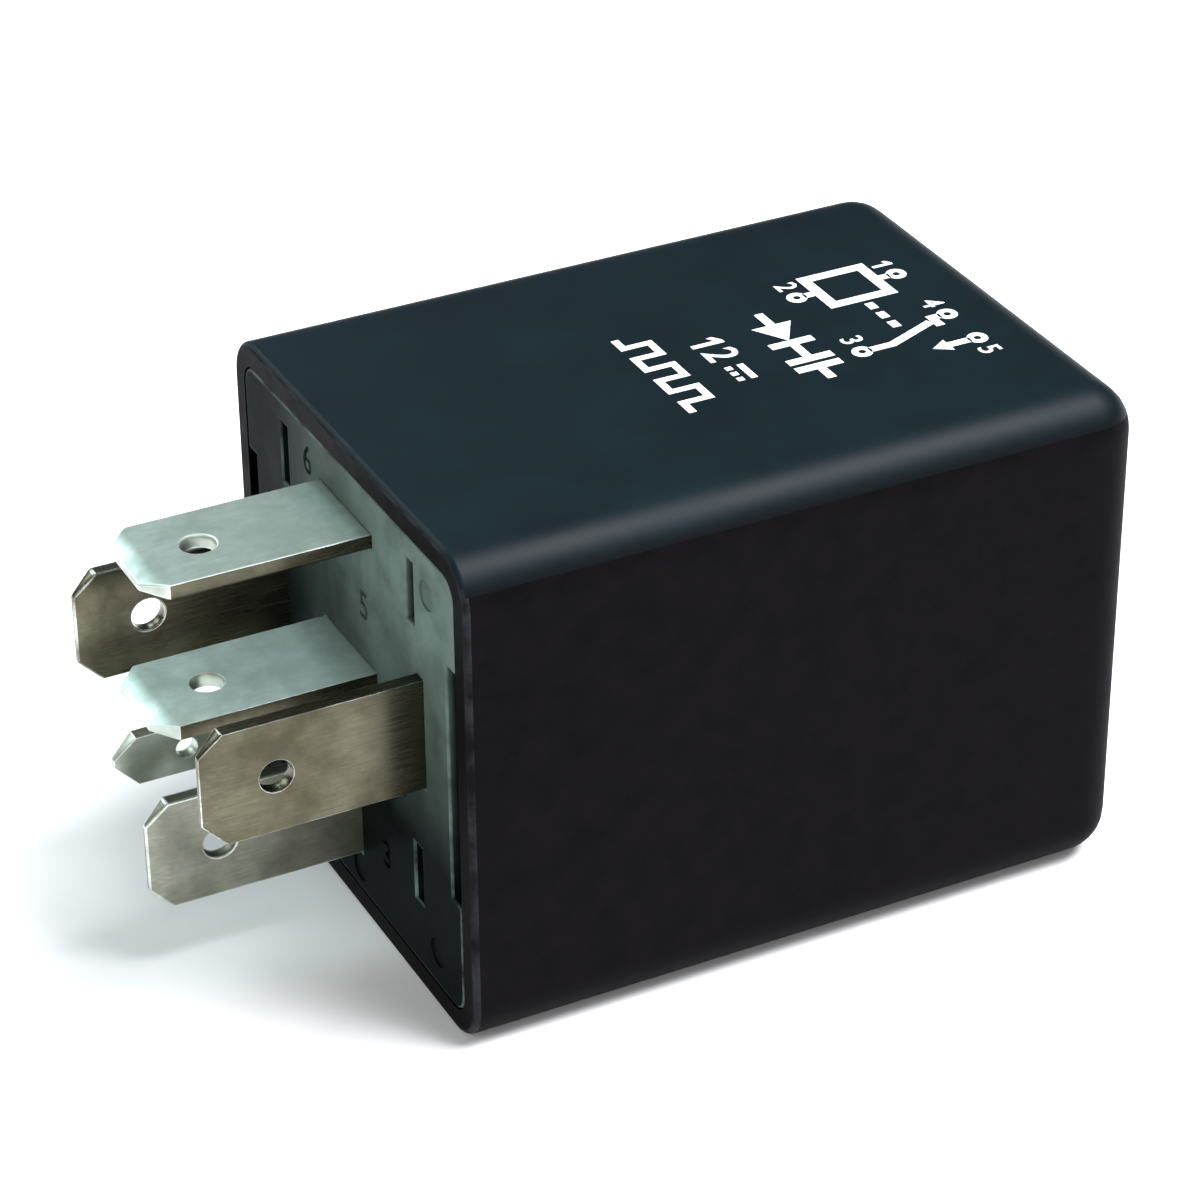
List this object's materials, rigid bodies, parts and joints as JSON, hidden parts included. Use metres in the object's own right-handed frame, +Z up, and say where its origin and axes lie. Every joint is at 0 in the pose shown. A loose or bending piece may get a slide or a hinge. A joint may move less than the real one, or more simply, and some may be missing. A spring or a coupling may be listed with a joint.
{
  "type": "plug in relay",
  "caption": "Square plug-in relay with a deep clip-on cover, a base plate of blade terminals, a hinged-armature magnet and a small timer board inside.",
  "frame": {"origin": "centre of the base plate's outer face, which seats on the socket", "axes": "-X the way the blades point, +X along the cover to its closed end, +Z up as the relay lies on its side with the normally open blade on top, +Y to the left coil blade"},
  "size_m": [0.0497, 0.028, 0.028],
  "materials": {
    "cover_plastic": "satin",
    "base_plastic": "smooth",
    "tinned_brass": "tin plated",
    "magnet_iron": "zinc plated",
    "bobbin_plastic": "moulded",
    "enamelled_copper": "enamelled wire",
    "spring_bronze": "rolled",
    "rivet_brass": "plain",
    "rivet_steel": "plain",
    "contact_silver": "silver alloy",
    "braided_copper": "braided",
    "board_laminate": "solder resist",
    "solder": "bright",
    "can_aluminium": "plain",
    "sleeve_film": "shrink film",
    "chip_epoxy": "moulded epoxy",
    "resistor_lacquer": "lacquer",
    "diode_epoxy": "moulded epoxy"
  },
  "bodies": {
    "relay": {"base_plate": "base_plastic", "latch_arms": "base_plastic", "terminal_normally_open": "tinned_brass", "terminal_normally_closed": "tinned_brass", "terminal_coil_left": "tinned_brass", "terminal_coil_right": "tinned_brass", "terminal_common": "tinned_brass", "terminal_signal": "tinned_brass", "yoke": "magnet_iron", "core": "magnet_iron", "bobbin": "bobbin_plastic", "winding": "enamelled_copper", "coil_pins": "solder", "coil_leads": "enamelled_copper", "hinge_spring": "spring_bronze", "yoke_rivets": "rivet_steel", "contact_normally_open": "contact_silver", "contact_normally_closed": "contact_silver", "copper_braid": "braided_copper", "circuit_board": "board_laminate", "capacitor_can": "can_aluminium", "capacitor_sleeve": "sleeve_film", "capacitor_leads": "solder", "timer_chip": "chip_epoxy", "chip_legs": "solder", "resistors": "resistor_lacquer", "resistor_leads": "solder", "diode": "diode_epoxy", "diode_leads": "solder", "transistor": "chip_epoxy", "transistor_legs": "solder", "solder_joints": "solder"},
    "cover_shell": {"cover": "cover_plastic"},
    "armature_set": {"armature": "magnet_iron", "armature_rivets": "rivet_brass", "contact_arm": "spring_bronze", "moving_contact": "contact_silver"}
  },
  "joints": [
    {"name": "armature_hinge", "type": "hinge", "parent": "relay", "child": "armature_set", "pos_m": [0.02255, 0, -0.00865], "axis": [0, -1, 0], "range_deg": [0, 2.5], "stiffness_Nm_per_rad": 0.035, "springref_deg": -11.46, "deforming": ["hinge_spring", "copper_braid"]},
    {"name": "cover_slide", "type": "slide", "parent": "relay", "child": "cover_shell", "axis": [1, 0, 0], "range_m": [0, 0.045], "deforming": ["latch_arms"]}
  ]
}
